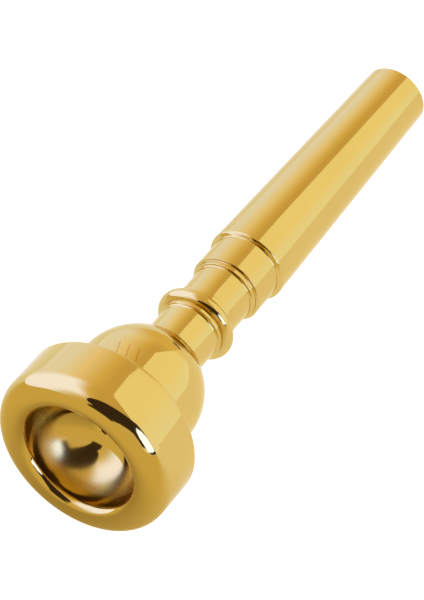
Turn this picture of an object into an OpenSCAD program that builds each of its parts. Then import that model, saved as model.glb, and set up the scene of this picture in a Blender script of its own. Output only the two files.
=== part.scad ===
// Cup mouthpiece for a trumpet, made in three screwed pieces with two sealing
// rings. The player's rim screws off the cup, and the cup screws off the
// backbore, which carries the tapered shank.
// Millimetres. The axis lies along Y: lip side towards -Y, shank towards +Y.
// The origin is on the axis at the small end of the shank.
// Axial sizes are measured from the crest of the rim, towards the shank.

/* [Overall] */

// Length from the crest of the rim to the small end of the shank
overall_len = 87.0; // [70:0.5:110]
// Outside diameter of the rim
rim_d = 26.4; // [21:0.1:32]
// Throat diameter, drill number 27
throat_d = 3.66; // [3:0.01:4.5]

/* [Rim] */

// Width of the rim, from its outside in to the bite
rim_width = 4.7; // [4:0.05:5.5]
// How far the crest of the rim lies in from its outside
crest_in = 3.14; // [2.5:0.02:3.8]
// Depth of the bite below the crest
bite_depth = 1.1; // [0.8:0.05:1.6]
// Axial length of the outer rounding
front_round = 2.9; // [2:0.1:4]
// Axial position of the seam between the rim and the cup flange
seam_pos = 8.8; // [8:0.1:11]

/* [Cup] */

// Depth of the cup below the bite, were it not opened into the throat
cup_depth = 7.4; // [6:0.1:9]
// Thickness of the flange the rim screws down to
flange_t = 0.75; // [0.6:0.05:1.2]
// How far the outside of the bowl lies in from the outside of the rim
bowl_in = 3.84; // [3:0.02:5]
// Axial position where the bowl starts to round in
bowl_top = 15.1; // [13:0.1:17]
// Share of a quarter circle that the bowl's rounding takes up
bowl_fullness = 0.714; // [0.5:0.001:0.9]
// Width of the cup's rear face outside its register
rear_land = 1.76; // [1.2:0.02:2.4]
// Axial position of the rear face of the cup
cup_end = 22.35; // [21.5:0.05:28]

/* [Neck] */

// Neck diameter
neck_d = 9.06; // [7.5:0.02:11]
// Height of the bead above the neck
bead_h = 1.36; // [1:0.02:1.6]
// Axial position of the middle of the bead
bead_pos = 30.65; // [29:0.05:34]
// Radius of the bead's half round
bead_r = 1.03; // [0.8:0.01:1.2]
// Height of the low steps beside the bead and at the collar
step_h = 0.38; // [0.25:0.01:0.5]
// Axial position where the collar starts to rise
collar_pos = 37.75; // [36:0.05:42]

/* [Shank] */

// Axial position where the shoulder of the shank starts to rise
shoulder_pos = 43.8; // [42:0.1:52]
// Height of the shoulder
shoulder_h = 0.61; // [0.3:0.01:0.9]
// Diameter of the shank at its small end
shank_end_d = 9.65; // [9:0.01:10.5]
// Loss of diameter for each millimetre of length
shank_taper = 0.05; // [0.04:0.001:0.06]
// Thickness of the wall at the small end
end_wall = 0.5; // [0.3:0.05:0.8]

/* [Screw joints] */

// Pitch of both threads
pitch = 1.0; // [0.75:0.05:1.25]
// Wall of the rim outside its register
rim_wall = 2.32; // [1.8:0.02:3]
// Step from the rim's register down to the rim thread
rim_step = 0.88; // [0.5:0.02:1.2]
// Step from the neck down to the backbore thread
tail_step = 0.55; // [0.3:0.01:0.8]
// Length of the backbore's end inside the cup
tail_len = 8.35; // [7:0.05:10]
// Length of the straight throat inside the backbore
throat_tail = 4.0; // [2:0.1:8]
// Gap between the threads of a screwed pair
thread_gap = 0.09; // [0.06:0.01:0.12]
// Radial gap of the plain registers behind the threads
register_gap = 0.05; // [0.02:0.01:0.1]
// Gap left between faces that screw up to each other
face_gap = 0.04; // [0.02:0.01:0.1]
// Cord diameter of both sealing rings
cord_d = 0.8; // [0.6:0.02:1.0]

/* [Hidden] */

$fn = 120;

brass = [0.86, 0.69, 0.32];
rubber = [0.08, 0.08, 0.09];

rim_r = rim_d / 2;
crest_r = rim_r - crest_in;
bite_r = rim_r - rim_width;
bowl_r = rim_r - bowl_in;
throat_r = throat_d / 2;
neck_r = neck_d / 2;

// thread form: height and the widths of the ridge at root and crest
ridge_h = 0.58 * pitch;
ridge_root = 0.8 * pitch;
ridge_crest = 0.13 * pitch;

// rim joint
rim_register_r = rim_r - rim_wall - register_gap;
rim_major = rim_register_r - rim_step;
rim_core = rim_major - ridge_h;
ledge_pos = bite_depth + 1.3;
rim_register_len = cord_d + 0.85;
rim_thread_end = seam_pos - rim_register_len - 0.85 * pitch;

// backbore joint
tail_major = neck_r - tail_step;
tail_core = tail_major - ridge_h;
nose_pos = cup_end - tail_len;
tail_register_len = cord_d + 1.55;
tail_thread_end = cup_end - tail_register_len - 0.85 * pitch;

// sealing rings
rim_ring_r = rim_register_r - cord_d / 2 + 0.03;
rim_ring_pos = seam_pos - 0.35 - cord_d / 2;
tail_ring_r = neck_r - cord_d / 2 + 0.03;
tail_ring_pos = cup_end - 0.95 - cord_d / 2;

// bowl, neck and shank
bowl_wide_r = bowl_r - 0.08;
bowl_end_pos = cup_end - 0.25;
bowl_end_r = neck_r + register_gap + rear_land;
step_r = neck_r + step_h;
bead_top = neck_r + bead_h;
shank_big_r = shank_end_d / 2 + (overall_len - shoulder_pos - 0.65) * shank_taper / 2;
neck3_r = shank_big_r - shoulder_h;
collar_r = (neck_r + neck3_r) / 2;
exit_r = shank_end_d / 2 - end_wall;
throat_end = nose_pos + throat_tail;

// points of an arc, as [radius, position] pairs
function arc(r, p, size, a0, a1, n) =
    [for (i = [0 : n]) [r + size * cos(a0 + (a1 - a0) * i / n), p + size * sin(a0 + (a1 - a0) * i / n)]];

// quarter of an oval from angle a0 to a1, half sizes w across and h along the axis
function oval(r, p, w, h, a0, a1, n) =
    [for (i = [0 : n]) [r + w * cos(a0 + (a1 - a0) * i / n), p + h * sin(a0 + (a1 - a0) * i / n)]];

// outer rounding of the rim: a quarter oval, a little fuller than an ellipse
function full_oval(r, p, w, h, a0, a1, n) =
    [for (i = [0 : n]) let (a = a0 + (a1 - a0) * i / n)
        [r + w * pow(cos(a), 0.91), p - h * pow(sin(a), 0.91)]];

// inside radius of the cup at an axial position
function cup_r(p) = bite_r * sqrt(max(0, 1 - pow((p - bite_depth) / cup_depth, 2)));

// outside radius of the bowl at an axial position behind its widest part
function bowl_at(p) =
    let (u = bowl_fullness * (p - bowl_top) / (bowl_end_pos - bowl_top))
    let (low = sqrt(1 - pow(bowl_fullness, 2)))
    bowl_end_r + (bowl_wide_r - bowl_end_r) * (sqrt(1 - pow(u, 2)) - low) / (1 - low);

// inside wall of the cup between two positions
function cup_wall(p0, p1, n) = [for (i = [0 : n]) [cup_r(p0 + (p1 - p0) * i / n), p0 + (p1 - p0) * i / n]];

module on_axis() {
    rotate([-90, 0, 0])
        translate([0, 0, -overall_len])
            children();
}

module turned(points) {
    on_axis()
        rotate_extrude()
            polygon(points);
}

// cutter for a right-hand groove whose middle runs from position p0 to p1:
// radius r0 and width w0 at the surface it is cut into, r1 and w1 at its root.
// Its flanks carry on a little past the surface.
module groove(r0, r1, w0, w1, p0, p1, seg) {
    n = floor((p1 - p0) / pitch * seg);
    over = (r0 > r1 ? 0.06 : -0.06) * pitch;
    r2 = r0 + over;
    w2 = w0 + (w0 - w1) * over / (r0 - r1);
    pts = [for (k = [0 : n])
        let (a = 360 * (k + 0.37) / seg)
        let (z = p0 + pitch * k / seg)
        for (q = [[r2, w2], [r1, w1], [r1, -w1], [r2, -w2]])
            [q[0] * cos(a), q[0] * sin(a), z + q[1] / 2]];
    side = [for (k = [0 : n - 1]) for (j = [0 : 3])
        for (t = [[4 * k + j, 4 * k + 4 + j, 4 * k + (j + 1) % 4],
                  [4 * k + (j + 1) % 4, 4 * k + 4 + j, 4 * k + 4 + (j + 1) % 4]])
            (r1 > r0) ? t : [t[0], t[2], t[1]]];
    ring = [for (j = [0 : 3]) j];
    turn = [for (j = [0 : 3]) 3 - j];
    ends = [(r1 > r0) ? ring : turn, [for (j = (r1 > r0) ? turn : ring) 4 * n + j]];
    on_axis()
        polyhedron(points = pts, faces = concat(side, ends), convexity = 10);
}

// groove that leaves a male thread on a cylinder of radius major
module male_thread(major, p0, p1, seg) {
    groove(major, major - ridge_h, pitch - ridge_crest, pitch - ridge_root, p0, p1, seg);
}

// groove that leaves a female thread clear of that male one
module female_thread(major, p0, p1, seg) {
    groove(major - ridge_h + thread_gap, major + thread_gap, ridge_root + thread_gap, ridge_crest + thread_gap,
        p0, p1, seg);
}

module rim() {
    color(brass)
    difference() {
        turned(concat(
            // crest down the inner edge to the bite, then the cup wall
            oval(crest_r, bite_depth, crest_r - bite_r, bite_depth, 270, 180, 8),
            cup_wall(bite_depth + 0.3, ledge_pos, 3),
            // ledge above the thread, run-out groove, thread bore
            [[rim_major + 0.14, ledge_pos]],
            [[rim_major + 0.14, ledge_pos + pitch]],
            [[rim_core + thread_gap, ledge_pos + 1.5 * pitch]],
            [[rim_core + thread_gap, rim_thread_end - 0.3]],
            // plain register with a lead-in
            [[rim_register_r + register_gap, rim_thread_end + 0.6]],
            [[rim_register_r + register_gap, seam_pos - 0.2]],
            [[rim_register_r + register_gap + 0.2, seam_pos]],
            [[rim_r - 0.08, seam_pos]],
            [[rim_r, seam_pos - 0.08]],
            // outside and the outer rounding
            full_oval(crest_r, front_round, rim_r - crest_r, front_round, 0, 84, 14)
        ));
        female_thread(rim_major, ledge_pos + 0.5 * pitch, rim_thread_end + 0.3, 48);
    }
}

module rim_o_ring() {
    color(rubber)
    on_axis()
        translate([0, 0, rim_ring_pos])
            rotate_extrude()
                translate([rim_ring_r, 0])
                    circle(d = cord_d, $fn = 32);
}

module cup() {
    throat_lip = 1.0;
    lip_pos = bite_depth + cup_depth + 0.64;
    color(brass)
    difference() {
            turned(concat(
                // front end of the spigot and its lead-in
                cup_wall(ledge_pos + face_gap, bite_depth + 0.93 * cup_depth, 16),
                // rounded lip of the throat
                arc(throat_r + throat_lip, lip_pos, throat_lip, 250, 180, 6),
                [[throat_r, nose_pos]],
                // socket floor, run-out groove, thread bore
                [[tail_major + 0.14, nose_pos]],
                [[tail_major + 0.14, nose_pos + pitch]],
                [[tail_core + thread_gap, nose_pos + 1.5 * pitch]],
                [[tail_core + thread_gap, tail_thread_end - 0.1]],
                // plain register for the neck
                [[neck_r + register_gap, tail_thread_end + 0.6]],
                [[neck_r + register_gap, cup_end - 0.12]],
                [[neck_r + register_gap + 0.12, cup_end]],
                // rear face and its rounded edge
                [[bowl_end_r - 0.3, cup_end]],
                arc(bowl_end_r - 0.25, bowl_end_pos, 0.25, 75, 45, 2),
                // bowl
                [for (i = [0 : 16]) let (z = bowl_end_pos + (bowl_top - bowl_end_pos) * i / 16) [bowl_at(z), z]],
                [[bowl_r, bowl_top - 3]],
                // hollow under the flange
                arc(bowl_r + 0.55, seam_pos + flange_t + 0.6, 0.6, 180, 270, 5),
                [[rim_r - 0.85, seam_pos + flange_t]],
                // rounded edge of the flange
                arc(rim_r - 0.85, seam_pos + flange_t - 0.6, 0.6, 80, 0, 5),
                [[rim_r - 0.25, seam_pos + face_gap]],
                // plain register with the groove of the sealing ring
                [[rim_register_r, seam_pos + face_gap]],
                [[rim_register_r, rim_ring_pos + cord_d / 2 + 0.08]],
                [[rim_ring_r - cord_d / 2 - 0.02, rim_ring_pos + cord_d / 2 + 0.08]],
                [[rim_ring_r - cord_d / 2 - 0.02, rim_ring_pos - cord_d / 2 - 0.08]],
                [[rim_register_r, rim_ring_pos - cord_d / 2 - 0.08]],
                [[rim_register_r, rim_thread_end + 0.85 * pitch + 0.15]],
                [[rim_register_r - 0.15, rim_thread_end + 0.85 * pitch]],
                [[rim_core - 0.1, rim_thread_end + 0.85 * pitch]],
                [[rim_core - 0.1, rim_thread_end + 0.2]],
                [[rim_major, rim_thread_end - 0.2]],
                [[rim_major, ledge_pos + 0.5]],
                [[rim_major - 0.45, ledge_pos + face_gap]]
            ));
        male_thread(rim_major, ledge_pos - pitch, rim_thread_end + 0.3, 48);
        female_thread(tail_major, nose_pos + 0.5 * pitch, tail_thread_end + 0.4, 36);
    }
}

module cup_o_ring() {
    color(rubber)
    on_axis()
        translate([0, 0, tail_ring_pos])
            rotate_extrude()
                translate([tail_ring_r, 0])
                    circle(d = cord_d, $fn = 32);
}

module backbore() {
    bead_front = bead_pos - bead_r;
    bead_back = bead_pos + bead_r;
    bead_foot = bead_top - bead_r;
    color(brass)
    difference() {
        turned(concat(
            // nose and body of the screwed end
            [[throat_r, nose_pos + 0.1]],
            [[tail_major - 0.45, nose_pos + 0.1]],
            [[tail_major, nose_pos + 0.55]],
            [[tail_major, tail_thread_end - 0.2]],
            [[tail_core - 0.1, tail_thread_end + 0.2]],
            [[tail_core - 0.1, tail_thread_end + 0.85 * pitch]],
            [[neck_r - 0.15, tail_thread_end + 0.85 * pitch]],
            [[neck_r, tail_thread_end + 0.85 * pitch + 0.15]],
            // groove of the sealing ring
            [[neck_r, tail_ring_pos - cord_d / 2 - 0.08]],
            [[tail_ring_r - cord_d / 2 - 0.02, tail_ring_pos - cord_d / 2 - 0.08]],
            [[tail_ring_r - cord_d / 2 - 0.02, tail_ring_pos + cord_d / 2 + 0.08]],
            [[neck_r, tail_ring_pos + cord_d / 2 + 0.08]],
            // low step that seats on the cup
            [[neck_r, cup_end + face_gap]],
            [[step_r - 0.05, cup_end + face_gap]],
            [[step_r, cup_end + face_gap + 0.06]],
            [[step_r, cup_end + 1.1]],
            [[step_r - 0.06, cup_end + 1.2]],
            arc(neck_r + 0.3, cup_end + 1.5, 0.3, 255, 180, 3),
            // neck up to the low step before the bead
            [[neck_r, bead_front - 0.95]],
            arc(neck_r + 0.3, bead_front - 0.95, 0.3, 165, 105, 3),
            [[step_r - 0.06, bead_front - 0.6]],
            [[step_r, bead_front - 0.5]],
            [[step_r, bead_front - 0.04]],
            // half round bead
            arc(bead_foot, bead_pos, bead_r, -86, 86, 18),
            [[step_r, bead_back + 0.04]],
            [[step_r, bead_back + 0.85]],
            [[step_r - 0.06, bead_back + 0.95]],
            arc(neck_r + 0.3, bead_back + 1.25, 0.3, 255, 180, 3),
            // neck up to the collar
            [[neck_r, collar_pos]],
            arc(neck_r + 0.25, collar_pos, 0.25, 165, 105, 3),
            [[collar_r - 0.05, collar_pos + 0.26]],
            [[collar_r, collar_pos + 0.33]],
            [[collar_r, collar_pos + 0.8]],
            [[collar_r + 0.05, collar_pos + 0.92]],
            [[neck3_r - 0.08, collar_pos + 1.0]],
            [[neck3_r, collar_pos + 1.1]],
            [[neck3_r, shoulder_pos - 0.05]],
            // shoulder with a small hollow and a rounded lip
            arc(neck3_r + 0.22, shoulder_pos, 0.22, 180, 110, 3),
            arc(shank_big_r - 0.3, shoulder_pos + 0.65, 0.3, -60, 0, 4),
            // shank, small end and bore
            [[shank_end_d / 2 + 0.25 * shank_taper / 2, overall_len - 0.25]],
            [[shank_end_d / 2 - 0.14, overall_len]],
            [[exit_r, overall_len]],
            [[throat_r, throat_end]]
        ));
        male_thread(tail_major, nose_pos - pitch, tail_thread_end + 0.3, 36);
    }
}

rim();
rim_o_ring();
cup();
cup_o_ring();
backbore();
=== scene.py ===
"""Looks of the brass mouthpiece: smooth turned meshes with real screw threads, gold and rubber,
and the small studio that its polish reflects."""

import math

import bmesh
import bpy
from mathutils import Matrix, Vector


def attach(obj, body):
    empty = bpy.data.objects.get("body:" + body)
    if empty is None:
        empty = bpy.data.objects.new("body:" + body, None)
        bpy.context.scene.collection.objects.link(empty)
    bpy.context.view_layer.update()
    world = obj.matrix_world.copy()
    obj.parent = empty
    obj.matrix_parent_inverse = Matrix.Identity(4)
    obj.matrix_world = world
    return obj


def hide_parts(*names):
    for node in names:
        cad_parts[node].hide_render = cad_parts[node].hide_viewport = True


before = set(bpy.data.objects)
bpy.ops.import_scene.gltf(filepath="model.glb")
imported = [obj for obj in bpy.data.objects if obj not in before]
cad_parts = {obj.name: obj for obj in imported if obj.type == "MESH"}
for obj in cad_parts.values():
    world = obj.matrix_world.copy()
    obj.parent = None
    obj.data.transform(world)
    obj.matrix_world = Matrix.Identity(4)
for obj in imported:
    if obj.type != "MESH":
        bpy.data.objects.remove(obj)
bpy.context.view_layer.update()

MM = 0.001
TURN_SEGMENTS = 256  # round the axis
THREAD_ROWS = 18  # mesh rows to one pitch
FADE = 0.35  # share of a pitch over which a thread runs out
CREASE = math.radians(28)  # sharper edges than this stay sharp

# ---------------------------------------------------------------- sizes, in millimetres
# Axial places run from the crest of the rim towards the shank.
OVERALL_LEN = 87.0
RIM_R = 13.2
CREST_R = 10.06
BITE_R = 8.5
BITE_DEPTH = 1.1
FRONT_ROUND = 2.9
SEAM = 8.8
FACE_GAP = 0.04
CUP_DEPTH = 7.4
THROAT_R = 1.83
FLANGE_T = 0.75
BOWL_R = 9.36
BOWL_TOP = 15.1
BOWL_FULLNESS = 0.714
BOWL_END = 22.1
BOWL_END_R = 6.34
CUP_END = 22.35
NECK_R = 4.53
STEP_R = 4.91
BEAD = 30.65
BEAD_R = 1.03
BEAD_TOP = 5.89
COLLAR = 37.75
COLLAR_R = 4.905
NECK3_R = 5.279
SHOULDER = 43.8
SHANK_BIG_R = 5.889
SHANK_END_R = 4.825
EXIT_R = 4.325
THROAT_END = 18.0
NOSE = 14.0

# screw joints and their sealing rings
PITCH = 1.0
RIDGE_H = 0.58
RIDGE_ROOT = 0.8
RIDGE_CREST = 0.13
THREAD_GAP = 0.09
REGISTER_GAP = 0.05
RIM_REGISTER = 10.83
RIM_MAJOR = 9.95
RIM_THREAD_END = 6.3
LEDGE = 2.4
RIM_RING = (10.46, 8.05)
TAIL_MAJOR = 3.98
TAIL_THREAD_END = 19.15
CUP_RING = (4.16, 21.0)
CORD_R = 0.4
GROOVE_FLOOR_GAP = 0.02
GROOVE_SIDE_GAP = 0.08
RELIEF = 0.14  # how far the relief at a socket's foot lies outside its thread
RUN_OUT = 0.85  # from the end of a thread to its register
HAIRLINE = 0.005  # half of the gap that shows where the rim meets the cup inside

# roundings
BOWL_FILLET = 0.55
BOWL_REAR_ROUND = 0.25
FLANGE_ROUND = 0.6
RIM_REAR_ROUND = 0.12
THROAT_LIP = 1.0
NECK_FILLET = 0.3
STEP_ROUND = 0.1
SHOULDER_ROUND = 0.3
END_ROUND = 0.14

# ornament engraved on top of the bowl: short slanted strokes
MARK_AT = 13.4
MARK_STROKES = 3
MARK_GAP = 1.5
MARK_LINE = 0.18
MARK_LENGTH = 2.4
MARK_SLANT = 0.35
MARK_ABOVE = 9.0  # only where the bowl is this far above the axis


# ---------------------------------------------------------------- profile helpers
def arc(r, t, size, a0, a1, n):
    """Points of an arc as (radius, place) pairs."""
    return oval(r, t, size, size, a0, a1, n)


def oval(r, t, wide, long, a0, a1, n):
    """Points of an oval arc from angle a0 to a1, with half sizes wide across and long along the axis."""
    out = []
    for i in range(n + 1):
        a = math.radians(a0 + (a1 - a0) * i / n)
        out.append((r + wide * math.cos(a), t + long * math.sin(a)))
    return out


def full_oval(r, t, wide, long, a0, a1, n):
    """Outer rounding of the rim: a quarter oval, a little fuller than an ellipse."""
    out = []
    for i in range(n + 1):
        a = math.radians(a0 + (a1 - a0) * i / n)
        out.append((r + wide * math.cos(a) ** 0.91, t - long * math.sin(a) ** 0.91))
    return out


def cup_wall(t0, t1, n):
    """Inside of the cup between two places: part of an ellipse, with its points even in angle."""
    a0, a1 = (math.asin((t - BITE_DEPTH) / CUP_DEPTH) for t in (t0, t1))
    out = []
    for i in range(n + 1):
        a = a0 + (a1 - a0) * i / n
        out.append((BITE_R * math.cos(a), BITE_DEPTH + CUP_DEPTH * math.sin(a)))
    return out


def bowl_wall(n):
    """Outside of the bowl, from its rear face forward to its widest part."""
    low = math.sqrt(1 - BOWL_FULLNESS ** 2)
    wide = BOWL_R - 0.08
    out = []
    for i in range(n + 1):
        t = BOWL_END + (BOWL_TOP - BOWL_END) * i / n
        u = BOWL_FULLNESS * (t - BOWL_TOP) / (BOWL_END - BOWL_TOP)
        out.append((BOWL_END_R + (wide - BOWL_END_R) * (math.sqrt(1 - u * u) - low) / (1 - low), t))
    return out


def thread_rows(radius, t0, t1):
    """Rows close enough together along t0..t1 to carry a modelled thread."""
    n = max(2, int(round(abs(t1 - t0) / PITCH * THREAD_ROWS)))
    return [(radius, t0 + (t1 - t0) * i / n) for i in range(n + 1)]


class Thread:
    """A right-hand groove that takes the surface in or out; it shapes the rows from low to high."""

    def __init__(self, major, start, end, male, low, high):
        self.start, self.end = start, end
        self.low, self.high = low, high
        if male:
            self.surface, self.root = major, major - RIDGE_H
            self.wide, self.narrow = PITCH - RIDGE_CREST, PITCH - RIDGE_ROOT
        else:
            self.surface, self.root = major - RIDGE_H + THREAD_GAP, major + THREAD_GAP
            self.wide, self.narrow = RIDGE_ROOT + THREAD_GAP, RIDGE_CREST + THREAD_GAP

    def shapes(self, r, t):
        return abs(r - self.surface) < 1e-4 and self.low <= t <= self.high

    def radius(self, t, angle):
        phase = (t - self.start) / PITCH - angle / (2 * math.pi)
        off = abs((phase + 0.5) % 1.0 - 0.5) * PITCH
        half_wide, half_narrow = self.wide / 2, self.narrow / 2
        depth = min(1.0, max(0.0, (half_wide - off) / (half_wide - half_narrow)))
        fade = min(1.0, max(0.0, (self.end - t) / (FADE * PITCH)))
        return self.surface + (self.root - self.surface) * depth * fade


def without_repeats(points):
    """The outline without points that lie on the one before."""
    out = []
    for p in points:
        if not out or math.dist(p, out[-1]) > 1e-5:
            out.append(p)
    if math.dist(out[0], out[-1]) < 1e-5:
        out.pop()
    return out


def turned(name, points, threads):
    """A closed mesh turned about the axis; rows that lie on a thread's surface take its shape."""
    points = without_repeats(points)
    verts, faces = [], []
    n = TURN_SEGMENTS
    for r, t in points:
        on = [thread for thread in threads if thread.shapes(r, t)]
        for j in range(n):
            a = 2 * math.pi * j / n
            rr = on[0].radius(t, a) if on else r
            verts.append((rr * MM * math.cos(a), (t - OVERALL_LEN) * MM, -rr * MM * math.sin(a)))
    for i in range(len(points)):
        k = (i + 1) % len(points)
        for j in range(n):
            m = (j + 1) % n
            faces.append((i * n + j, k * n + j, k * n + m, i * n + m))
    mesh = bpy.data.meshes.new(name)
    mesh.from_pydata(verts, [], faces)
    bm = bmesh.new()
    bm.from_mesh(mesh)
    bmesh.ops.recalc_face_normals(bm, faces=bm.faces)
    bm.to_mesh(mesh)
    bm.free()
    mesh.shade_smooth()
    mesh.set_sharp_from_angle(angle=CREASE)
    piece = bpy.data.objects.new(name, mesh)
    bpy.context.scene.collection.objects.link(piece)
    return piece


# ---------------------------------------------------------------- the pieces
RIM_CORE = RIM_MAJOR - RIDGE_H
TAIL_CORE = TAIL_MAJOR - RIDGE_H


def ring_groove(ring, register):
    """Groove for a sealing ring in a register, from front to rear."""
    r, t = ring
    floor = r - CORD_R - GROOVE_FLOOR_GAP
    half = CORD_R + GROOVE_SIDE_GAP
    return [(register, t - half), (floor, t - half), (floor, t + half), (register, t + half)]


def rim_outline():
    bore = RIM_CORE + THREAD_GAP
    register = RIM_REGISTER + REGISTER_GAP
    relief = RIM_MAJOR + RELIEF
    edge = RIM_REAR_ROUND
    return (
        oval(CREST_R, BITE_DEPTH, CREST_R - BITE_R, BITE_DEPTH, 270, 180, 28)
        + cup_wall(BITE_DEPTH, LEDGE - HAIRLINE, 8)
        + [(relief, LEDGE), (relief, LEDGE + PITCH)]
        + thread_rows(bore, LEDGE + 1.5 * PITCH, RIM_THREAD_END - 0.3)
        + [(register, RIM_THREAD_END + 0.6), (register, SEAM - 0.2), (register + 0.2, SEAM)]
        + [(RIM_R - edge - 0.02, SEAM)]
        + arc(RIM_R - edge, SEAM - edge, edge, 80, 0, 5)
        + full_oval(CREST_R, FRONT_ROUND, RIM_R - CREST_R, FRONT_ROUND, 0, 89, 44)
    )


def cup_outline():
    lip_at = BITE_DEPTH + CUP_DEPTH + 0.64
    bore = TAIL_CORE + THREAD_GAP
    relief = TAIL_MAJOR + RELIEF
    register = NECK_R + REGISTER_GAP
    flange_rear = SEAM + FLANGE_T
    flange_edge = RIM_R - 0.25 - FLANGE_ROUND
    shelf = RIM_THREAD_END + RUN_OUT
    return (
        cup_wall(LEDGE + HAIRLINE, BITE_DEPTH + 0.93 * CUP_DEPTH, 60)
        + arc(THROAT_R + THROAT_LIP, lip_at, THROAT_LIP, 250, 180, 14)
        + [(THROAT_R, NOSE), (relief, NOSE), (relief, NOSE + PITCH)]
        + thread_rows(bore, NOSE + 1.5 * PITCH, TAIL_THREAD_END - 0.1)
        + [(register, TAIL_THREAD_END + 0.6), (register, CUP_END - 0.12), (register + 0.12, CUP_END)]
        + [(BOWL_END_R - 0.3, CUP_END)]
        + arc(BOWL_END_R - BOWL_REAR_ROUND, BOWL_END, BOWL_REAR_ROUND, 75, 40, 5)
        + bowl_wall(48)
        + [(BOWL_R, BOWL_TOP - 3)]
        + arc(BOWL_R + BOWL_FILLET, flange_rear + FLANGE_ROUND, BOWL_FILLET, 180, 270, 10)
        + [(flange_edge, flange_rear)]
        + arc(flange_edge, flange_rear - FLANGE_ROUND, FLANGE_ROUND, 85, 0, 10)
        + [(RIM_R - 0.25, SEAM + FACE_GAP), (RIM_REGISTER, SEAM + FACE_GAP)]
        + ring_groove(RIM_RING, RIM_REGISTER)[::-1]
        + [(RIM_REGISTER, shelf + 0.15), (RIM_REGISTER - 0.15, shelf)]
        + [(RIM_CORE - 0.1, shelf), (RIM_CORE - 0.1, RIM_THREAD_END + 0.2)]
        + thread_rows(RIM_MAJOR, RIM_THREAD_END - 0.2, LEDGE + 0.5)
        + [(RIM_MAJOR - 0.45, LEDGE + FACE_GAP)]
    )


def backbore_outline():
    front, back = BEAD - BEAD_R, BEAD + BEAD_R
    shelf = TAIL_THREAD_END + RUN_OUT
    face = CUP_END + FACE_GAP
    fillet_r = NECK_R + NECK_FILLET
    step_edge = STEP_R - STEP_ROUND
    return (
        [(THROAT_R, NOSE + 0.1), (TAIL_MAJOR - 0.45, NOSE + 0.1)]
        + thread_rows(TAIL_MAJOR, NOSE + 0.55, TAIL_THREAD_END - 0.2)
        + [(TAIL_CORE - 0.1, TAIL_THREAD_END + 0.2), (TAIL_CORE - 0.1, shelf)]
        + [(NECK_R - 0.15, shelf), (NECK_R, shelf + 0.15)]
        + ring_groove(CUP_RING, NECK_R)
        + [(NECK_R, face)]
        # step behind the cup, neck, step, bead, step
        + arc(STEP_R - 0.08, face + 0.08, 0.08, -90, 0, 4)
        + arc(step_edge, CUP_END + 1.1, STEP_ROUND, 0, 75, 5)
        + arc(fillet_r, CUP_END + 1.5, NECK_FILLET, 255, 180, 10)
        + arc(fillet_r, front - 0.95, NECK_FILLET, 180, 105, 10)
        + arc(step_edge, front - 0.5, STEP_ROUND, -75, 0, 5)
        + [(STEP_R, front - 0.02)]
        + arc(BEAD_TOP - BEAD_R, BEAD, BEAD_R, -87, 87, 56)
        + [(STEP_R, back + 0.02)]
        + arc(step_edge, back + 0.85, STEP_ROUND, 0, 75, 5)
        + arc(fillet_r, back + 1.25, NECK_FILLET, 255, 180, 10)
        # two-step collar, shoulder and shank
        + arc(NECK_R + 0.25, COLLAR, 0.25, 180, 105, 10)
        + arc(COLLAR_R - 0.08, COLLAR + 0.33, 0.08, -75, 0, 4)
        + arc(COLLAR_R + 0.12, COLLAR + 0.88, 0.12, 180, 100, 5)
        + arc(NECK3_R - STEP_ROUND, COLLAR + 1.1, STEP_ROUND, -75, 0, 4)
        + arc(NECK3_R + 0.22, SHOULDER, 0.22, 180, 110, 8)
        + arc(SHANK_BIG_R - SHOULDER_ROUND, SHOULDER + 0.65, SHOULDER_ROUND, -60, 0, 10)
        + arc(SHANK_END_R - END_ROUND, OVERALL_LEN - 0.18, END_ROUND, 0, 60, 4)
        + [(SHANK_END_R - 0.2, OVERALL_LEN), (EXIT_R + 0.06, OVERALL_LEN), (EXIT_R, OVERALL_LEN - 0.1)]
        + [(THROAT_R, THROAT_END)]
    )


def ring_outline(centre):
    """Cord of a sealing ring, with the fine line its mould leaves inside and outside."""
    r, t = centre
    out = []
    n = 40
    for i in range(n):
        a = 2 * math.pi * i / n
        size = CORD_R - (0.012 if i % (n // 2) else 0.0)
        out.append((r + size * math.cos(a), t + size * math.sin(a)))
    return out


rim_thread = Thread(RIM_MAJOR, LEDGE + 0.5, RIM_THREAD_END + 0.3, False, LEDGE + 1.4, RIM_THREAD_END)
spigot_thread = Thread(RIM_MAJOR, LEDGE - 1.0, RIM_THREAD_END + 0.3, True, LEDGE, RIM_THREAD_END)
socket_thread = Thread(TAIL_MAJOR, NOSE + 0.5, TAIL_THREAD_END + 0.4, False, NOSE + 1.4, TAIL_THREAD_END)
tail_thread = Thread(TAIL_MAJOR, NOSE - 1.0, TAIL_THREAD_END + 0.3, True, NOSE, TAIL_THREAD_END)

# name, CAD node, body, outline, threads, material slot
PIECES = [
    ("turned_rim", "rim", "rim", rim_outline(), [rim_thread], "plated_brass"),
    ("turned_cup", "cup", "cup", cup_outline(), [spigot_thread, socket_thread], "plated_brass"),
    ("turned_backbore", "backbore", "backbore", backbore_outline(), [tail_thread], "plated_brass"),
    ("moulded_rim_ring", "rim_o_ring", "rim_seal", ring_outline(RIM_RING), [], "seal_rubber"),
    ("moulded_cup_ring", "cup_o_ring", "cup_seal", ring_outline(CUP_RING), [], "seal_rubber"),
]


# ---------------------------------------------------------------- materials
GOLD_DEEP = (0.665, 0.465, 0.125, 1)
GOLD_LIGHT = (0.68, 0.485, 0.135, 1)
GOLD_GLANCING = (1.0, 0.93, 0.72, 1)
ENGRAVED = (0.56, 0.32, 0.09, 1)
GOLD_ROUGH = (0.035, 0.085)
CUP_SATIN = (0.015, 0.26)  # roughness added inside the cup, at its floor and at its wall
RUBBER_DEEP = (0.018, 0.018, 0.02, 1)
RUBBER_LIGHT = (0.05, 0.05, 0.055, 1)


def new_material(name):
    material = bpy.data.materials.new(name)
    material.use_nodes = True
    tree = material.node_tree
    tree.nodes.clear()
    return material, tree


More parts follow.
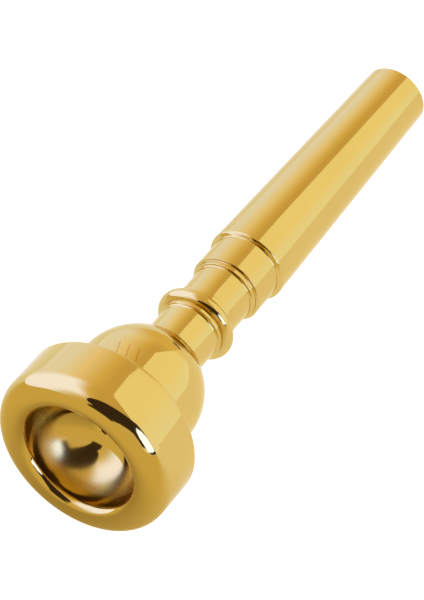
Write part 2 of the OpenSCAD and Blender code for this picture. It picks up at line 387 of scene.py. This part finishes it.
def add(tree, kind, **values):
    """A new node with its properties or named inputs set."""
    node = tree.nodes.new(kind)
    for key, value in values.items():
        if hasattr(node, key):
            setattr(node, key, value)
        else:
            node.inputs[key].default_value = value
    return node


def noise(tree, place, scale, detail):
    node = add(tree, "ShaderNodeTexNoise", Scale=scale, Detail=detail)
    tree.links.new(place, node.inputs["Vector"])
    return node.outputs["Fac"]


def spread(tree, value, start, end, low=0.0, high=1.0):
    """The value, taken from start..end to low..high and held at both ends."""
    node = add(tree, "ShaderNodeMapRange")
    node.inputs["From Min"].default_value = start
    node.inputs["From Max"].default_value = end
    node.inputs["To Min"].default_value = low
    node.inputs["To Max"].default_value = high
    tree.links.new(value, node.inputs["Value"])
    return node.outputs["Result"]


def maths(tree, operation, *terms):
    """A maths node whose terms are sockets or numbers."""
    node = add(tree, "ShaderNodeMath", operation=operation)
    for i, term in enumerate(terms):
        if isinstance(term, float):
            node.inputs[i].default_value = term
        else:
            tree.links.new(term, node.inputs[i])
    return node.outputs["Value"]


def two_colours(tree, value, low, high, start=0.0, end=1.0):
    node = add(tree, "ShaderNodeValToRGB")
    for stop, position, colour in zip(node.color_ramp.elements, (start, end), (low, high)):
        stop.position = position
        stop.color = colour
    tree.links.new(value, node.inputs["Fac"])
    return node.outputs["Color"]


def bumps(tree, shader, height, strength, distance):
    node = add(tree, "ShaderNodeBump", Strength=strength, Distance=distance)
    tree.links.new(height, node.inputs["Height"])
    tree.links.new(node.outputs["Normal"], shader.inputs["Normal"])


def stretched(tree, place, scale):
    node = add(tree, "ShaderNodeMapping")
    node.inputs["Scale"].default_value = scale
    tree.links.new(place, node.inputs["Vector"])
    return node.outputs["Vector"]


def cup_satin(tree, place, along):
    """Where the inside of the cup is (1 or 0), and how much rougher its polish is there."""
    radius = add(tree, "ShaderNodeVectorMath", operation="LENGTH")
    tree.links.new(stretched(tree, place, (1.0, 0.0, 1.0)), radius.inputs[0])
    off_axis = radius.outputs["Value"]
    floor = LEDGE + CUP_DEPTH - OVERALL_LEN
    inside = spread(tree, off_axis, BITE_R * MM, (BITE_R - 0.3) * MM)
    front = spread(tree, along.outputs["Y"], (floor + 3) * MM, (floor + 2) * MM)
    steep = spread(tree, off_axis, 0.62 * BITE_R * MM, BITE_R * MM, *CUP_SATIN)
    return maths(tree, "MULTIPLY", inside, front), steep


def ornament(tree, along):
    """1 on the engraved strokes and 0 elsewhere."""
    middle = MARK_AT - OVERALL_LEN
    lean = maths(tree, "MULTIPLY_ADD", along.outputs["Y"], MARK_SLANT, -MARK_SLANT * middle * MM)
    across = maths(tree, "ADD", along.outputs["X"], lean)
    row = maths(tree, "WRAP", across, -MARK_GAP / 2 * MM, MARK_GAP / 2 * MM)
    mark = maths(tree, "COMPARE", row, 0.0, MARK_LINE / 2 * MM)
    for source, centre, half in (
        (across, 0.0, MARK_GAP * MARK_STROKES / 2),
        (along.outputs["Y"], middle, MARK_LENGTH / 2),
        (along.outputs["Z"], RIM_R, RIM_R - MARK_ABOVE),
    ):
        near = maths(tree, "COMPARE", source, centre * MM, half * MM)
        mark = maths(tree, "MULTIPLY", mark, near)
    return mark


def gold():
    """Polished gold plate over brass: faint lathe rings, polishing haze and a little colour drift."""
    material, tree = new_material("gold_plate")
    link = tree.links.new
    out = add(tree, "ShaderNodeOutputMaterial")
    shader = add(tree, "ShaderNodeBsdfPrincipled")
    shader.inputs["Metallic"].default_value = 1.0
    shader.inputs["Specular Tint"].default_value = GOLD_GLANCING
    link(shader.outputs[0], out.inputs[0])
    place = add(tree, "ShaderNodeTexCoord").outputs["Object"]
    along = add(tree, "ShaderNodeSeparateXYZ")
    link(place, along.inputs["Vector"])

    tint = two_colours(tree, noise(tree, place, 55.0, 3.0), GOLD_DEEP, GOLD_LIGHT, 0.3, 0.7)
    engraved = add(tree, "ShaderNodeMix", data_type="RGBA")
    link(ornament(tree, along), engraved.inputs["Factor"])
    link(tint, engraved.inputs[6])
    engraved.inputs[7].default_value = ENGRAVED
    link(engraved.outputs[2], shader.inputs["Base Color"])

    haze = spread(tree, noise(tree, place, 240.0, 4.0), 0.3, 0.75, *GOLD_ROUGH)
    share, satin = cup_satin(tree, place, along)
    link(maths(tree, "MULTIPLY_ADD", share, satin, haze), shader.inputs["Roughness"])

    # lathe rings: noise squeezed along Y, so it hardly changes round the axis
    rings = noise(tree, stretched(tree, place, (60.0, 9000.0, 60.0)), 1.0, 2.0)
    bumps(tree, shader, rings, 0.018, 0.0001)
    return material


def rubber():
    """Smooth black seal rubber with a fine bloom."""
    material, tree = new_material("seal_rubber")
    out = add(tree, "ShaderNodeOutputMaterial")
    shader = add(tree, "ShaderNodeBsdfPrincipled")
    tree.links.new(shader.outputs[0], out.inputs[0])
    place = add(tree, "ShaderNodeTexCoord").outputs["Object"]
    bloom = noise(tree, place, 900.0, 5.0)
    tree.links.new(two_colours(tree, bloom, RUBBER_DEEP, RUBBER_LIGHT), shader.inputs["Base Color"])
    tree.links.new(spread(tree, bloom, 0.0, 1.0, 0.38, 0.6), shader.inputs["Roughness"])
    bumps(tree, shader, bloom, 0.15, 0.00003)
    return material


FINISHES = {"plated_brass": gold(), "seal_rubber": rubber()}

for name, node, body, outline, threads, slot in PIECES:
    piece = turned(name, outline, threads)
    piece.data.materials.append(FINISHES[slot])
    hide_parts(node)
    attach(piece, body)


# ---------------------------------------------------------------- studio
# Directions are given by phi, degrees from straight up towards +X, and tilt, degrees from +Y.
# The metal shows its surroundings; these walls are painted reflections, glowing sheets that only its polish
# sees, and their glow is set sheet by sheet. They light no diffuse surface and cast no shadow.
FLOOR_Z = -RIM_R * MM
REACH = 1.2
CENTRE = Vector((0, -0.05, 0))

CREAM = (1.35, 1.62, 4.3)  # painted highlight on the left, feathered, seen only in the metal's polish
PALE = (1.1, 1.25, 2.3)
LEMON = (1.15, 1.1, 1.2)
HONEY = (0.95, 0.76, 0.38)
AMBER = (0.82, 0.63, 0.31)
BROWN = (0.66, 0.54, 0.29)
PANEL_NEAR = (1.21, 1.2, 1.08)  # painted reflection of a large softbox on the right
PANEL_FAR = (1.17, 1.28, 1.6)
PANEL_END = (1.1, 0.98, 0.75)
LAMP = (1.6, 2.2, 6.5)
WARM = (0.85, 0.7, 0.42)
ROOM = (0.05, 0.034, 0.03)
# painted reflection of the floor, which the metal sees on the floor_sheen sheet instead of the white floor:
# bluish on the left, darker and warmer in front, with painted shade under the rim
FLOOR_LEFT = (1.0, 1.08, 1.4)
FLOOR_RIGHT = (1.06, 1.04, 1.08)
FLOOR_FRONT = (0.84, 0.7, 0.34)
FLOOR_SHADE = (0.5, 0.4, 0.2)


def mix(a, b, share):
    """The colour that lies a share of the way from a to b."""
    return tuple(x + (y - x) * share for x, y in zip(a, b))


def smooth(x, low, high):
    """0 at low, 1 at high, eased in between; low may be above high."""
    u = min(1.0, max(0.0, (x - low) / (high - low)))
    return u * u * (3 - 2 * u)


def ramp(x, stops):
    """The number or colour at x between stops, which are (place, value) pairs."""
    if x <= stops[0][0]:
        return stops[0][1]
    for (x0, c0), (x1, c1) in zip(stops, stops[1:]):
        if x <= x1:
            u = (x - x0) / (x1 - x0)
            return mix(c0, c1, u) if isinstance(c0, tuple) else c0 + (c1 - c0) * u
    return stops[-1][1]


def around(phi, tilt):
    """Unit vector of a direction."""
    p, q = math.radians(phi), math.radians(tilt)
    return Vector((math.sin(q) * math.sin(p), math.cos(q), math.sin(q) * math.cos(p)))


def glow_sheet(name, verts, columns, colours):
    """A painted reflection: a glowing sheet that shows in the polish of the metal, and that the camera
    doesn't see.

    Its points lie in rows of columns + 1.
    """
    material, tree = new_material(name)
    out = add(tree, "ShaderNodeOutputMaterial")
    glow = add(tree, "ShaderNodeEmission")
    colour = add(tree, "ShaderNodeAttribute")
    colour.attribute_name = "glow"
    tree.links.new(colour.outputs["Color"], glow.inputs["Color"])
    tree.links.new(glow.outputs[0], out.inputs[0])
    row = columns + 1
    faces = []
    for k in range(len(verts) // row - 1):
        for v in range(k * row, k * row + columns):
            faces.append((v, v + 1, v + row + 1, v + row))
    mesh = bpy.data.meshes.new(name)
    mesh.from_pydata([tuple(v) for v in verts], [], faces)
    layer = mesh.color_attributes.new("glow", "FLOAT_COLOR", "POINT")
    for i, c in enumerate(colours):
        layer.data[i].color = (*c, 1)
    mesh.materials.append(material)
    sheet = bpy.data.objects.new(name, mesh)
    bpy.context.scene.collection.objects.link(sheet)
    sheet.visible_camera = False
    sheet.visible_diffuse = False
    sheet.visible_shadow = False


def wall(name, tilts, left, right, colour, reach=REACH):
    """A curved sheet between two edges, which are given as (tilt, phi) stops."""
    n_across = 60
    n_along = max(60, int(2 * abs(tilts[1] - tilts[0])))
    verts, colours = [], []
    for k in range(n_along + 1):
        tilt = tilts[0] + (tilts[1] - tilts[0]) * k / n_along
        a, b = ramp(tilt, left), ramp(tilt, right)
        for i in range(n_across + 1):
            phi = a + (b - a) * i / n_across
            verts.append(CENTRE + reach * around(phi, tilt))
            colours.append(colour(phi, tilt))
    glow_sheet(name, verts, n_across, colours)


LEFT_BANDS = [(-110, PALE), (-65, PALE), (-40, LEMON), (-14, HONEY), (0, AMBER), (20, AMBER), (42, BROWN)]


def left_wall_colour(phi, tilt):
    base = mix(ramp(phi, LEFT_BANDS), HONEY, smooth(tilt, 44, 20))
    # painted highlight: a feathered bright patch of CREAM on the left wall, seen only as a reflection in
    # the metal
    painted_highlight = smooth(phi, -112, -84) * smooth(phi, -10, -32) * smooth(tilt, 58, 86) * smooth(tilt, 156, 130)
    return mix(mix(base, CREAM, painted_highlight), WARM, smooth(tilt, 140, 160))


def panel_colour(phi, tilt):
    return mix(mix(PANEL_NEAR, PANEL_FAR, smooth(phi, 40, 90)), PANEL_END, smooth(tilt, 26, 10))


def plain(colour):
    return lambda phi, tilt: colour


# edges of the sheets, as (tilt, phi) stops; what they leave open shows the dark room
SOFTBOX_EDGE = [(6, 52), (20, 32), (35, 19), (50, 9), (66, 15), (82, 29), (90, 36)]
BEHIND_SOFTBOX = [(tilt, phi + 1.5) for tilt, phi in SOFTBOX_EDGE]
ROOM_EDGE = [(97, 43.5), (104, 35.5), (113, 23), (122, 9), (138, -12), (160, -38)]
LAMP_EDGE = [(92, 68), (97, 60), (107, 54), (118, 58), (126, 68)]
FAR_EDGE = [(90, 90), (118, 90), (127, 84), (142, 84)]
LOW_EDGE = [(138, 62), (172, 40), (178, 34)]

wall("left_wall", (4, 165), [(0, -96)], BEHIND_SOFTBOX + ROOM_EDGE, left_wall_colour, 1.01 * REACH)
# painted reflections of a softbox and a lamp on the right, seen only in the metal's polish
wall("right_softbox", (6, 90), SOFTBOX_EDGE, [(0, 96), (66, 94), (90, 91)], panel_colour)
wall("right_softbox_foot", (90, 97), [(90, 36), (97, 43)], [(90, 52), (97, 44)], panel_colour)
wall("lamp", (92, 126), LAMP_EDGE, [(92, 86), (126, 88)], plain(LAMP))
wall("far_right", (90, 142), FAR_EDGE, [(0, 97)], plain(FLOOR_RIGHT))
wall("low_right", (138, 178), LOW_EDGE, [(0, 96)], plain(WARM))


SHADE_AT = (-0.004, -0.09)  # painted shade: where the floor's painted reflection darkens under the rim
SHADE_SIZE = 0.016
FLOOR_REACH = 1.6


def painted_floor_reflection(x, y):
    sides = mix(FLOOR_LEFT, FLOOR_RIGHT, smooth(x, -0.04, 0.03))
    front = mix(sides, FLOOR_FRONT, smooth(y, -0.06, -0.1))
    near = math.exp(-((x - SHADE_AT[0]) ** 2 + (y - SHADE_AT[1]) ** 2) / SHADE_SIZE ** 2)
    return mix(front, FLOOR_SHADE, near)


def floor_sheen():
    """Painted reflection of the floor, just above the floor itself, with painted shade under the rim and a
    painted darker, warmer front; its grid is finest near the object.
    """
    n = 90
    steps = [math.sinh(6 * (2 * i / n - 1)) / math.sinh(6) * FLOOR_REACH for i in range(n + 1)]
    verts = [(x, y - 0.08, FLOOR_Z + 0.00002) for y in steps for x in steps]
    glow_sheet("floor_sheen", verts, n, [painted_floor_reflection(x, y) for x, y, z in verts])


def white_floor(half):
    material, tree = new_material("floor")
    out = add(tree, "ShaderNodeOutputMaterial")
    shader = add(tree, "ShaderNodeBsdfPrincipled")
    shader.inputs["Base Color"].default_value = (0.8, 0.8, 0.8, 1)
    shader.inputs["Roughness"].default_value = 0.9
    shader.inputs["Specular IOR Level"].default_value = 0.0
    shader.inputs["Emission Color"].default_value = (1, 1, 1, 1)
    shader.inputs["Emission Strength"].default_value = 0.94
    tree.links.new(shader.outputs[0], out.inputs[0])
    mesh = bpy.data.meshes.new("floor")
    corners = [(x * half, y * half, FLOOR_Z) for x, y in ((-1, -1), (1, -1), (1, 1), (-1, 1))]
    mesh.from_pydata(corners, [], [(0, 1, 2, 3)])
    mesh.materials.append(material)
    floor = bpy.data.objects.new("floor", mesh)
    floor.visible_glossy = False
    bpy.context.scene.collection.objects.link(floor)


floor_sheen()
white_floor(4.0)


def soft_light(name, place, size, power):
    """Plain soft light on the floor and the rubber; the metal sees the glowing sheets instead."""
    data = bpy.data.lights.new(name, "AREA")
    data.size = size
    data.energy = power
    light = bpy.data.objects.new(name, data)
    light.location = place
    light.rotation_mode = "QUATERNION"
    light.rotation_quaternion = (CENTRE - Vector(place)).to_track_quat("-Z", "Y")
    light.visible_glossy = False
    bpy.context.scene.collection.objects.link(light)


soft_light("soft_right", (0.7, 0.2, 0.8), 0.9, 3.0)
soft_light("soft_left", (-0.8, -0.3, 0.9), 0.9, 3.0)

world = bpy.data.worlds.new("room")
bpy.context.scene.world = world
world.use_nodes = True
world.node_tree.nodes["Background"].inputs["Color"].default_value = (*ROOM, 1)
world.node_tree.nodes["Background"].inputs["Strength"].default_value = 1.0

scene = bpy.context.scene
scene.view_settings.view_transform = "Standard"

# ---------------------------------------------------------------- camera
AZIMUTH = math.radians(31.05)
ELEVATION = math.radians(43.5)
DISTANCE = 502.0  # from the rim's centre, in millimetres
ASIDE = 18.07
ABOVE = 21.36
level = math.cos(ELEVATION)
back = Vector((math.sin(AZIMUTH) * level, -math.cos(AZIMUTH) * level, math.sin(ELEVATION)))
right = Vector((math.cos(AZIMUTH), math.sin(AZIMUTH), 0))
up = back.cross(right)
lens_data = bpy.data.cameras.new("camera")
lens_data.lens = 228.0
lens_data.sensor_width = 36.0
lens_data.clip_end = 20.0
camera = bpy.data.objects.new("camera", lens_data)
scene.collection.objects.link(camera)
rim_centre = Vector((0, -OVERALL_LEN * MM, 0))
camera.location = rim_centre + MM * (ASIDE * right + ABOVE * up + DISTANCE * back)
camera.rotation_mode = "QUATERNION"
camera.rotation_quaternion = (-back).to_track_quat("-Z", "Y")
scene.camera = camera
